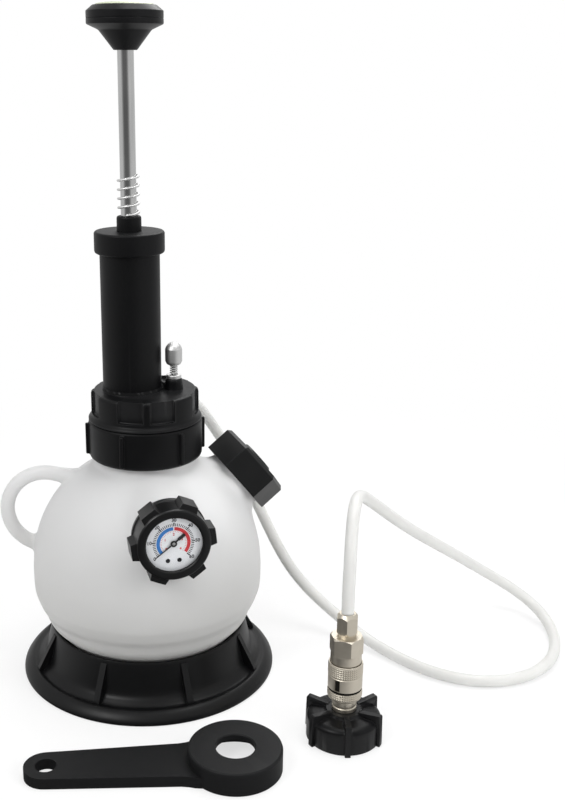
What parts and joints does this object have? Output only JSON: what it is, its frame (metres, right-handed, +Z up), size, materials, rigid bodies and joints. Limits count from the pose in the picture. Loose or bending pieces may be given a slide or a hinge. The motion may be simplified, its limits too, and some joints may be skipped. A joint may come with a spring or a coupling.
{
  "type": "pressure brake bleeder",
  "caption": "Hand-pumped pressure brake bleeder: ball tank on a round base, plunger pump, dial gauge, filler cap, hose with quick coupler and reservoir adapter, and a cap spanner.",
  "frame": {"origin": "middle of the base's foot, on the floor", "axes": "+Z up the pump; -Y is the front, where the gauge faces; +X is the filler cap's side"},
  "size_m": [0.4574, 0.2807, 0.503],
  "materials": {
    "black_plastic": "fine moulded grain",
    "tank_plastic": "translucent blow-moulded",
    "rubber": "matt",
    "steel": "bright turned",
    "nickel": "nickel plated",
    "white_plastic": "smooth",
    "inlay": "satin disc",
    "dial": "white enamel",
    "brass": "turned",
    "lens": "clear",
    "hose": "translucent"
  },
  "bodies": {
    "bleeder": {"base_ring": "black_plastic", "tank": "tank_plastic", "carry_handle": "tank_plastic", "neck_seal": "rubber", "head_retainer": "black_plastic", "neck_nut": "black_plastic", "pump_head": "black_plastic", "check_seat": "steel", "check_valve": "rubber", "pump_cylinder": "black_plastic", "cylinder_cap": "black_plastic", "guide_bush": "black_plastic", "rod_spring": "steel", "release_seat": "steel", "release_spring": "steel", "hose_fitting": "steel", "hose_nut": "black_plastic", "dip_tube": "white_plastic", "gauge_gasket": "rubber", "gauge_case": "black_plastic", "gauge_dial": "dial", "dial_screws": "steel", "gauge_lens": "lens", "gauge_nut": "black_plastic", "hose": "hose", "coupler_nut": "nickel", "coupler_body": "nickel", "locking_balls": "steel"},
    "plunger": {"piston_rod": "steel", "piston": "white_plastic", "piston_seal": "rubber", "piston_nut": "steel", "knob_body": "black_plastic", "knob_cap": "black_plastic", "knob_inlay": "inlay"},
    "release_button": {"release_stem": "steel", "release_knob": "steel"},
    "pointer": {"gauge_arbor": "brass", "gauge_pointer": "black_plastic"},
    "filler_lid": {"filler_cap": "black_plastic", "filler_gasket": "rubber"},
    "release_sleeve": {"coupler_sleeve": "nickel"},
    "reservoir_adapter": {"adapter_cap": "black_plastic", "adapter_gasket": "rubber", "coupler_nipple": "nickel"},
    "spanner": {"cap_spanner": "black_plastic"}
  },
  "joints": [
    {"name": "pump_stroke", "type": "slide", "parent": "bleeder", "child": "plunger", "axis": [0, 0, -1], "range_m": [0, 0.083]},
    {"name": "release_press", "type": "slide", "parent": "bleeder", "child": "release_button", "axis": [0, 0, -1], "range_m": [0, 0.0035], "stiffness_N_per_m": 900, "springref_m": -0.003, "deforming": ["release_spring"]},
    {"name": "pointer_sweep", "type": "hinge", "parent": "bleeder", "child": "pointer", "pos_m": [0.024, -0.09996, 0.14568], "axis": [0.2334, -0.9724, 0], "range_deg": [-260, 0], "stiffness_Nm_per_rad": 0.0001, "springref_deg": 11.46},
    {"name": "filler_lift", "type": "slide", "parent": "bleeder", "child": "filler_lid", "axis": [0.7437, 0.2331, 0.6266], "range_m": [0, 0.07]},
    {"name": "sleeve_pull", "type": "slide", "parent": "bleeder", "child": "release_sleeve", "axis": [0, 0, 1], "range_m": [0, 0.0045], "stiffness_N_per_m": 800, "springref_m": -0.004},
    {"name": "adapter_spin", "type": "hinge", "parent": "bleeder", "child": "reservoir_adapter", "pos_m": [0.145, -0.109, 0.04], "axis": [0, 0, 1], "continuous": true},
    {"name": "spanner_lift", "type": "slide", "parent": "bleeder", "child": "spanner", "axis": [0, 0, 1], "range_m": [0, 0.12]}
  ]
}
